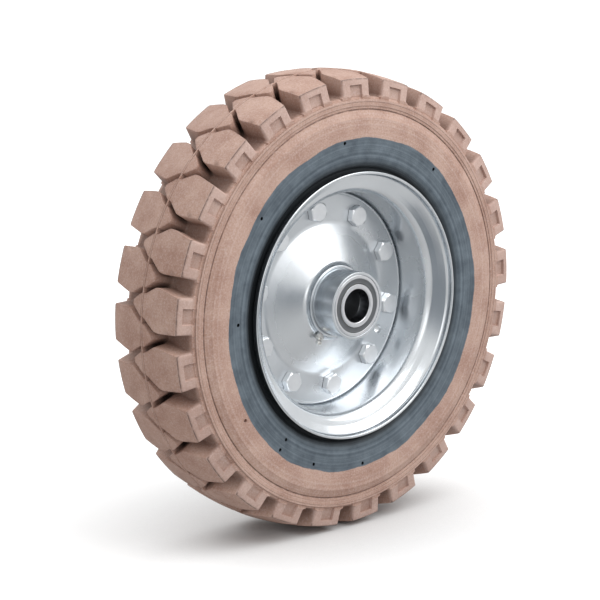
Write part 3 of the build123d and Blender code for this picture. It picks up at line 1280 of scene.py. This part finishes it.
@dataclass
class Fasteners:
    """Ten M10 hex bolts with their nuts."""

    bolt_circle: float = 80.0
    count: int = 10
    first: float = -11.4
    flats: float = 17.0
    head_height: float = 6.4
    nut_height: float = 8.0
    shank_radius: float = 5.0
    shank_length: float = 20.0
    seat_y: float = 5.0
    thread_pitch: float = 1.5
    thread_depth: float = 0.6
    washer_face: float = 0.4
    # How far each bolt happened to turn when it was tightened, in degrees.
    turns: tuple[float, ...] = (8, 25, 50, 12, 40, 3, 33, 18, 46, 28)

    def build(self, plating: Material) -> None:
        """Build the ring of bolts and the ring of nuts.

        Args:
            plating: their material.
        """
        bolts = []
        nuts = []
        for index, turn in enumerate(self.turns):
            angle = self.first + 360 * index / self.count
            front = polar(self.bolt_circle, angle, -self.seat_y)
            rear = polar(self.bolt_circle, angle, self.seat_y)
            for part in (self._head(), self._shank()):
                stand_at(part, front, Vector((0, -1, 0)), turn)
                bolts.append(part)
            nut = self._nut()
            stand_at(nut, rear, Vector((0, 1, 0)), self.turns[-1 - index])
            nuts.append(nut)
        make_piece("hex_bolts", join(bolts), WHEEL, plating, ["rim_bolts"], crease=28)
        make_piece("hex_nuts", join(nuts), WHEEL, plating, ["rim_nuts"], crease=28)

    def _head(self) -> Mesh:
        """Build a bolt head standing on its washer face."""
        washer = self.flats / 2 * 0.95
        foot = [Ring(washer, 0.0), Ring(washer, self.washer_face)]
        return stacked_rings(foot + hexagon_with_chamfer(self.flats, self.washer_face, self.head_height))

    def _shank(self) -> Mesh:
        """Build a bolt's shank, hanging below its head, with the last turns of its thread."""
        core = self.shank_radius - self.thread_depth
        rings = [Ring(self.shank_radius, 1.0)]
        height = -self.shank_length + 6 * self.thread_pitch
        while height > -self.shank_length + 1.2:
            rings.append(Ring(self.shank_radius, height))
            rings.append(Ring(core, height - self.thread_pitch / 2))
            height -= self.thread_pitch
        rings.append(Ring(self.shank_radius - 0.15, 1.0 - self.shank_length))
        rings.append(Ring(core - 0.2, -self.shank_length))
        return stacked_rings(rings, segments=36)

    def _nut(self) -> Mesh:
        """Build a nut with a countersunk bore."""
        bore = self.shank_radius + 0.02
        outside = hexagon_with_chamfer(self.flats, 0.0, self.nut_height)
        inside = [
            Ring(bore + 0.7, self.nut_height),
            Ring(bore, self.nut_height - 0.7),
            Ring(bore, 0.0),
        ]
        return stacked_rings(outside + inside, tube=True)


@dataclass
class GreaseNipple:
    """The small ball-headed grease nipple in the front disc's neck."""

    angle: float = -123.0
    tilt: float = 20.0
    foot_radius: float = 32.85
    foot_y: float = -21.35

    def build(self, plating: Material) -> None:
        """Build the nipple and set it in the neck.

        Args:
            plating: its material.
        """
        rings = [Ring(3.0, -6.2), Ring(3.0, 1.7)]
        rings += hexagon_with_chamfer(7.0, 1.7, 4.6)
        rings += [Ring(2.6, 4.65), Ring(2.0, 5.6), Ring(1.9, 6.0)]
        for step in range(7):
            turn = math.radians(-48 + step * 104 / 6)
            rings.append(Ring(2.9 * math.cos(turn), 8.2 + 2.9 * math.sin(turn)))
        rings += [Ring(1.3, 10.6), Ring(0.6, 10.55), Ring(0.5, 9.8)]
        nipple = stacked_rings(rings, segments=36)
        outward = polar(1.0, self.angle, 0.0).normalized()
        lean = math.radians(self.tilt)
        way = outward * math.cos(lean) + Vector((0, -1, 0)) * math.sin(lean)
        stand_at(nipple, polar(self.foot_radius, self.angle, self.foot_y), way, 10)
        make_piece("ball_grease_nipple", nipple, WHEEL, plating, ["grease_nipple"], crease=30)


@dataclass
class Hub:
    """The hub tube, its two sealed ball bearings and the spacer between them."""

    half_length: float = 50.0
    tube_radius: float = 30.0
    bore_radius: float = 25.0
    bearing_radius: float = 27.5
    bearing_width: float = 13.0
    outer_land: float = 24.3
    inner_land: float = 19.3
    inner_bore: float = 15.0
    spacer_radius: float = 18.5
    spacer_bore: float = 15.5
    steps: int = 160

    def build(
        self, tube_finish: Material, ring_finish: Material, spacer_finish: Material, seal_finish: Material
    ) -> None:
        """Build the tube, the bearings' rings and seals, and the spacer.

        Args:
            tube_finish: the hub tube's material.
            ring_finish: the bearing rings' material.
            spacer_finish: the spacer's material.
            seal_finish: the seals' material.
        """
        make_piece("bored_hub_tube", self._tube(), WHEEL, tube_finish, ["hub_tube"])
        seat = self.half_length - self.bearing_width
        spacer: list[Corner] = [(self.spacer_bore, seat, 0.3), (self.spacer_radius, seat, 0.3)]
        make_piece(
            "bearing_spacer",
            turned(mirrored_section(spacer), steps=self.steps),
            AXLE_SET,
            spacer_finish,
            ["spacer_tube"],
        )
        for side in Side:
            rows = (
                ("ground", "outer_ring", self._outer_ring(), WHEEL, ring_finish, "bearing_steel"),
                ("ground", "inner_ring", self._inner_ring(), AXLE_SET, ring_finish, "bearing_steel"),
                ("moulded", "outer_seal", self._seal(), WHEEL, seal_finish, "seal_rubber"),
            )
            for made, part, bm, body, finish, slot in rows:
                if side is Side.FRONT:
                    mirror_to_other_side(bm)
                node = f"{side.label}_{part}"
                make_piece(f"{made}_{node}", bm, body, finish, [node])

    def _tube(self) -> Mesh:
        """Build the hub tube with a bearing seat at each end."""
        seat = self.half_length - self.bearing_width
        half: list[Corner] = [
            (self.bore_radius, seat, 0.0),
            (self.bearing_radius, seat, 0.0),
            (self.bearing_radius, self.half_length, 0.35),
            (self.tube_radius, self.half_length, 0.5),
        ]
        return turned(mirrored_section(half), steps=self.steps)

    def _outer_ring(self) -> Mesh:
        """Build the rear bearing's outer ring, a shade back from the tube's end."""
        high = self.half_length - 0.15
        low = self.half_length - self.bearing_width
        section: list[Corner] = [
            (23.2, low, 0.2),
            (self.bearing_radius - 0.02, low, 0.8),
            (self.bearing_radius - 0.02, high, 0.8),
            (self.outer_land, high, 0.25),
            (self.outer_land, high - 1.1, 0.0),
            (23.2, high - 1.1, 0.0),
            (23.2, high - 3.5, 0.0),
            (24.9, high - 6.5, 3.5),
            (23.2, high - 9.5, 0.0),
        ]
        return turned(section, steps=self.steps)

    def _inner_ring(self) -> Mesh:
        """Build the rear bearing's inner ring."""
        high = self.half_length - 0.1
        low = self.half_length - self.bearing_width
        section: list[Corner] = [
            (self.inner_bore, low, 0.7),
            (self.inner_land, low, 0.2),
            (self.inner_land, high - 9.5, 0.0),
            (17.7, high - 6.5, 3.5),
            (self.inner_land, high - 3.5, 0.0),
            (self.inner_land, high, 0.25),
            (self.inner_bore, high, 0.7),
        ]
        return turned(section, steps=self.steps)

    def _seal(self) -> Mesh:
        """Build the rear bearing's outer seal, with its raised rim and its lip."""
        face = self.half_length - 0.4
        section: list[Corner] = [
            (19.7, face - 0.8, 0.0),
            (24.3, face - 0.8, 0.0),
            (24.3, face, 0.15),
            (23.3, face, 0.15),
            (22.9, face - 0.25, 0.15),
            (20.9, face - 0.25, 0.2),
            (20.5, face - 0.05, 0.2),
            (19.7, face - 0.1, 0.2),
        ]
        return turned(section, steps=self.steps)


@dataclass
class Studio:
    """The pale floor, the lamps and the camera, in metres."""

    camera_at: tuple[float, float, float] = (-1.6853, -1.8249, 0.5323)
    camera_aim: tuple[float, float, float] = (-0.01263, 0.01077, -0.00254)
    lens: float = 171.232
    ambient: float = 0.65
    # Each soft lamp as (name, place, side, power in watts).
    lamps: tuple[tuple[str, tuple[float, float, float], float, float], ...] = (
        ("key_lamp", (0.75, -1.25, 1.7), 2.3, 42.0),
        ("fill_lamp", (-1.9, -1.9, 0.9), 1.2, 4.0),
        ("rim_lamp", (-0.4, 1.8, 1.9), 1.4, 16.0),
    )
    floor_size: float = 12.0
    floor_gap: float = 0.0001
    floor_colour: str = "#C4C4C4"
    # The floor's lift to white. Gloss and glass get less, so metal shows a darker floor than the picture's.
    floor_lift: float = 0.78
    mirrored_lift: float = 0.12
    # How far the floor's painted contact shadow reaches from the tyre.
    contact_reach: float = 0.3
    # The card lies along the line of sight, from 0.30 m to 0.90 m to the right of it, its near end raised.
    card_length: float = 1.3
    card_width: float = 0.6
    card_at: tuple[float, float] = (-0.069, -0.958)
    card_gap: float = 0.002
    card_lean: float = 18.0
    card_turn: float = 47.2
    card_colour: str = "#868B90"

    def build(self, lowest: float) -> None:
        """Build the studio.

        Args:
            lowest: the object's lowest height, where the floor goes.
        """
        self._floor(lowest)
        self._grey_card(lowest)
        self._world()
        for lamp in self.lamps:
            self._lamp(*lamp)
        self._camera()

    def _camera(self) -> None:
        """Set up the camera at the photograph's viewing angle."""
        data = bpy.data.cameras.new("camera")
        data.lens = self.lens
        data.sensor_width = 36.0
        data.clip_end = 50.0
        camera = bpy.data.objects.new("camera", data)
        spot = Vector(self.camera_at)
        camera.location = spot
        camera.rotation_euler = (Vector(self.camera_aim) - spot).to_track_quat("-Z", "Y").to_euler()
        bpy.context.scene.collection.objects.link(camera)
        bpy.context.scene.camera = camera

    def _lamp(self, name: str, spot: tuple[float, float, float], size: float, power: float) -> None:
        """Hang one square soft lamp that looks at the wheel.

        Args:
            name: the lamp's name.
            spot: where it hangs.
            size: the length of its side.
            power: its power in watts.
        """
        data = bpy.data.lights.new(name, "AREA")
        data.shape = "SQUARE"
        data.size = size
        data.energy = power
        lamp = bpy.data.objects.new(name, data)
        lamp.location = Vector(spot)
        lamp.rotation_euler = (-Vector(spot)).to_track_quat("-Z", "Y").to_euler()
        bpy.context.scene.collection.objects.link(lamp)

    def _floor(self, lowest: float) -> None:
        """Lay the floor just under the tyre.

        Args:
            lowest: the object's lowest height.
        """
        bm = bmesh.new()
        bmesh.ops.create_grid(bm, x_segments=1, y_segments=1, size=self.floor_size / 2)
        bmesh.ops.translate(bm, vec=(0, 0, lowest - self.floor_gap), verts=bm.verts)
        floor = make_object("floor", bm)
        floor.data.materials.append(self._floor_finish())
        floor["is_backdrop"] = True

    def _grey_card(self, lowest: float) -> None:
        """Lay a sloping matt grey card in front, for the bright metal to mirror in place of floor and room.

        The camera doesn't see it and it throws no shadow. It shows in the metal and in the light it reflects.

        Args:
            lowest: the object's lowest height.
        """
        bm = bmesh.new()
        bmesh.ops.create_grid(bm, x_segments=1, y_segments=1, size=0.5)
        bmesh.ops.scale(bm, vec=(self.card_length, self.card_width, 1), verts=bm.verts)
        for angle, axis in ((self.card_lean, "Y"), (self.card_turn, "Z")):
            turn = Matrix.Rotation(math.radians(angle), 3, axis)
            bmesh.ops.rotate(bm, cent=(0, 0, 0), matrix=turn, verts=bm.verts)
        rise = self.card_length / 2 * math.sin(math.radians(self.card_lean))
        bmesh.ops.translate(bm, vec=(*self.card_at, lowest + rise + self.card_gap), verts=bm.verts)
        card = make_object("grey_card", bm)
        material = blank_material("matt_grey_studio_card")
        tree = material.node_tree
        matt = add_node(tree, "ShaderNodeBsdfDiffuse", {"Color": srgb(self.card_colour)})
        add_node(tree, "ShaderNodeOutputMaterial", {"Surface": matt.outputs[0]})
        card.data.materials.append(material)
        card.visible_camera = False
        card.visible_shadow = False
        card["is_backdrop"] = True

    def _floor_finish(self) -> Material:
        """Paint the floor matt white, and lift it to the backdrop's white except near the tyre, where the lift
        fades into a painted contact shadow.

        Returns:
            The floor's material.
        """
        material = blank_material("white_painted_floor")
        tree = material.node_tree
        matt = add_node(tree, "ShaderNodeBsdfDiffuse", {"Color": srgb(self.floor_colour)})
        # A painted contact shadow: the lift falls with the square of the ambient occlusion near the tyre.
        painted_contact_shadow = add_node(tree, "ShaderNodeAmbientOcclusion", {"Distance": self.contact_reach})
        clear = add_node(tree, "ShaderNodeMath", {0: painted_contact_shadow.outputs["AO"], 1: 2.0}, operation="POWER")
        seen = self._seen(tree, self.floor_lift, self.mirrored_lift)
        strength = overlap(tree, clear.outputs[0], seen)
        lift = add_node(tree, "ShaderNodeEmission", {"Color": (1, 1, 1, 1), "Strength": strength})
        total = add_node(tree, "ShaderNodeAddShader", {0: matt.outputs[0], 1: lift.outputs[0]})
        add_node(tree, "ShaderNodeOutputMaterial", {"Surface": total.outputs[0]})
        return material

    def _seen(self, tree: Tree, strength: float, mirrored: float, otherwise: float = 0.0) -> Socket:
        """Choose a strength by who looks.

        Args:
            tree: the node tree.
            strength: the strength for the camera.
            mirrored: the strength for gloss and glass.
            otherwise: the strength for the rest.

        Returns:
            The chosen strength.
        """
        path = add_node(tree, "ShaderNodeLightPath").outputs
        either = {0: path["Is Glossy Ray"], 1: path["Is Transmission Ray"]}
        gloss = add_node(tree, "ShaderNodeMath", either, operation="MAXIMUM")
        rest = add_node(tree, "ShaderNodeMapRange", {0: gloss.outputs[0], 3: otherwise, 4: mirrored})
        shown = {0: path["Is Camera Ray"], 3: rest.outputs[0], 4: strength}
        return add_node(tree, "ShaderNodeMapRange", shown).outputs[0]

    def _world(self) -> None:
        """Light the room evenly, and show it white."""
        world = bpy.data.worlds.new("white_room")
        world.use_nodes = True
        tree = world.node_tree
        tree.nodes.clear()
        strength = self._seen(tree, 1.0, 1.0, self.ambient)
        sky = add_node(tree, "ShaderNodeBackground", {"Color": (1, 1, 1, 1), "Strength": strength})
        add_node(tree, "ShaderNodeOutputWorld", {"Surface": sky.outputs[0]})
        bpy.context.scene.world = world
        bpy.context.scene.view_settings.view_transform = "Standard"


def dress_hidden_nodes(
    frame: Mapping[str, object], balls: Material, cage: Material, seal: Material
) -> None:
    """Give the bearings' inner parts, which keep their CAD shapes, their materials.

    Args:
        balls: the balls' material.
        cage: the cages' material.
        seal: the inner seals' material.
    """
    for side in Side:
        for part, finish in (("balls", balls), ("cage", cage), ("inner_seal", seal)):
            node = frame["nodes"][f"{side.label}_{part}"]
            if not node.material_slots:
                node.data.materials.append(finish)
            for slot in node.material_slots:
                slot.material = finish


def main() -> None:
    """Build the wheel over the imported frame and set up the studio."""
    logging.basicConfig(level=logging.INFO, format="%(name)s: %(message)s")
    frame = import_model()
    cad_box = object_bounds()

    # Bright zinc over rolled sheet mirrors sharply on the flange and more softly down the seat.
    rim_sheet = PlatedSteel(
        "bright_zinc_on_rolled_rim", roughness=0.17, inner_roughness=0.26, inner_radius=101.5
    ).build()
    # The press leaves the discs' zinc silkier than the rolled rims'.
    disc_sheet = PlatedSteel("bright_zinc_on_pressed_disc", roughness=0.3, inner_roughness=0.25).build()
    # The lathe leaves closer marks on the tube, and the grinder closer ones still on the bearings' rings.
    tube = PlatedSteel(
        "bright_zinc_on_turned_tube", roughness=0.24, inner_roughness=0.24, mark_spacing=0.4
    ).build()
    ground = PlatedSteel("ground_bearing_steel", "#D9DADC", "#C6C8CC", 0.16, 0.16, mark_spacing=0.3).build()
    # Plating on the forged bolts is pale and a little dull, and on the nipple's machined body glossier.
    fasteners = SmallPartFinish("zinc_plated_forging", "#ECEEF0", "#D9DCDF", 1.0, 0.35).build()
    nipple = SmallPartFinish("zinc_plated_free_cutting_steel", "#D6D3CB", "#BFC0C2", 1.0, 0.22).build()
    # The spacer and the seals are dark, so that the bore and the bearing's face read as deep.
    spacer = SmallPartFinish("oiled_mild_steel_tube", "#8B8D90", "#707276", 1.0, 0.4).build()
    seal = SmallPartFinish("moulded_nitrile_rubber", "#505355", "#616467", 0.0, 0.45).build()
    ball_steel = SmallPartFinish("polished_chrome_steel", "#D4D6D9", "#C7C9CD", 1.0, 0.08).build()
    brass = SmallPartFinish("pressed_brass_sheet", "#C2A15A", "#B08F49", 1.0, 0.3).build()

    Tyre().build(
        TyreRubber("moulded_brown_tyre_rubber").build(),
        TyreRubber("moulded_slate_base_rubber").build(),
    )
    SplitRim().build(rim_sheet, disc_sheet)
    Fasteners().build(fasteners)
    GreaseNipple().build(nipple)
    Hub().build(tube, ground, spacer, seal)
    dress_hidden_nodes(frame, ball_steel, brass, seal)
    Studio().build(cad_box[0][2])


if __name__ == "__main__":
    main()
